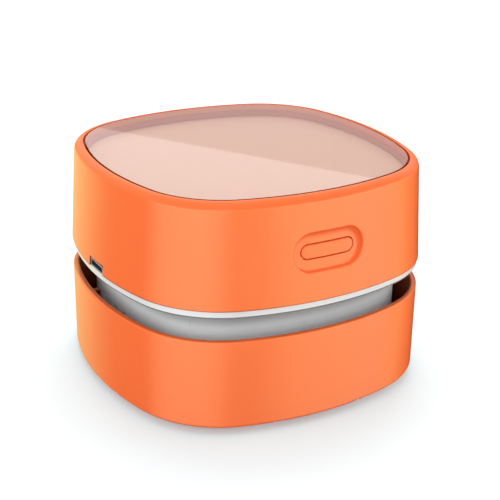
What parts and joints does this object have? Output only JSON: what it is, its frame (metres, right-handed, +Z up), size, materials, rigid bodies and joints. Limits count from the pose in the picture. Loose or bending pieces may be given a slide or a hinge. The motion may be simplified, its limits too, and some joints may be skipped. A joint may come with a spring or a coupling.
{
  "type": "desktop mini vacuum cleaner",
  "caption": "Small rounded-square battery desk vacuum: a drafted head with a sunk clear window and side button stands in an open dust bin with a brush inlet below.",
  "frame": {"origin": "on the table under the middle of the body, level with the bottom of the glide pads", "axes": "+Z up; -Y is the front with the power button; -X is the side with the charging port"},
  "size_m": [0.085, 0.085, 0.0584],
  "materials": {
    "orange_bin": "satin moulded ABS",
    "orange_housing": "satin moulded ABS",
    "orange_button": "satin moulded ABS",
    "white_ring": "satin moulded ABS",
    "neck_white": "satin moulded ABS",
    "deck_peach": "matte sheet",
    "clear_window": "clear acrylic",
    "inner_plastic": "matte moulded plastic",
    "mesh_fabric": "fine filter mesh",
    "black_plastic": "matte moulded plastic",
    "bristle_nylon": "nylon bristles",
    "rubber_grey": "matte rubber",
    "steel": "zinc plated",
    "plated_steel": "nickel plated",
    "contact_brass": "plain",
    "cell_wrap": "shrink wrap",
    "board_green": "solder mask",
    "chip_black": "moulded epoxy",
    "lead_red": "insulated wire",
    "plunger_plastic": "matte moulded plastic"
  },
  "bodies": {
    "bin": {"dust_bin": "orange_bin", "chamber_ring": "orange_bin", "inlet_duct": "orange_bin", "brush_holder": "black_plastic", "brush_bristles": "bristle_nylon", "brush_screws": "steel", "glide_pads": "rubber_grey"},
    "head": {"chassis": "neck_white", "fan_base": "inner_plastic", "seal_ring": "rubber_grey", "trim_ring": "white_ring", "fan_cover": "inner_plastic", "cover_screws": "steel", "motor_can": "plated_steel", "motor_endcap": "black_plastic", "motor_terminals": "contact_brass", "motor_sleeve": "rubber_grey", "mid_plate": "inner_plastic", "housing_screws": "steel", "usb_socket": "plated_steel", "usb_tongue": "black_plastic", "charge_board": "board_green", "board_screws": "steel", "board_parts": "chip_black", "battery_cradle": "inner_plastic", "battery_cell": "cell_wrap", "battery_contacts": "contact_brass", "power_switch": "black_plastic", "switch_board": "board_green", "battery_leads": "lead_red", "motor_leads": "lead_red", "upper_housing": "orange_housing", "deck_panel": "deck_peach", "top_window": "clear_window"},
    "button": {"power_button": "orange_button", "switch_plunger": "plunger_plastic"},
    "fan": {"impeller": "inner_plastic", "motor_shaft": "steel"},
    "filter": {"filter_frame": "inner_plastic", "filter_mesh": "mesh_fabric"}
  },
  "joints": [
    {"name": "head_lift", "type": "slide", "parent": "bin", "child": "head", "axis": [0, 0, 1], "range_m": [0, 0.03]},
    {"name": "button_press", "type": "slide", "parent": "head", "child": "button", "axis": [0, 1, 0], "range_m": [0, 0.0008], "stiffness_N_per_m": 1500, "springref_m": -0.0004},
    {"name": "fan_spin", "type": "hinge", "parent": "head", "child": "fan", "pos_m": [0, 0, 0.022], "axis": [0, 0, 1], "continuous": true},
    {"name": "filter_drop", "type": "slide", "parent": "head", "child": "filter", "axis": [0, 0, -1], "range_m": [0, 0.003]}
  ]
}
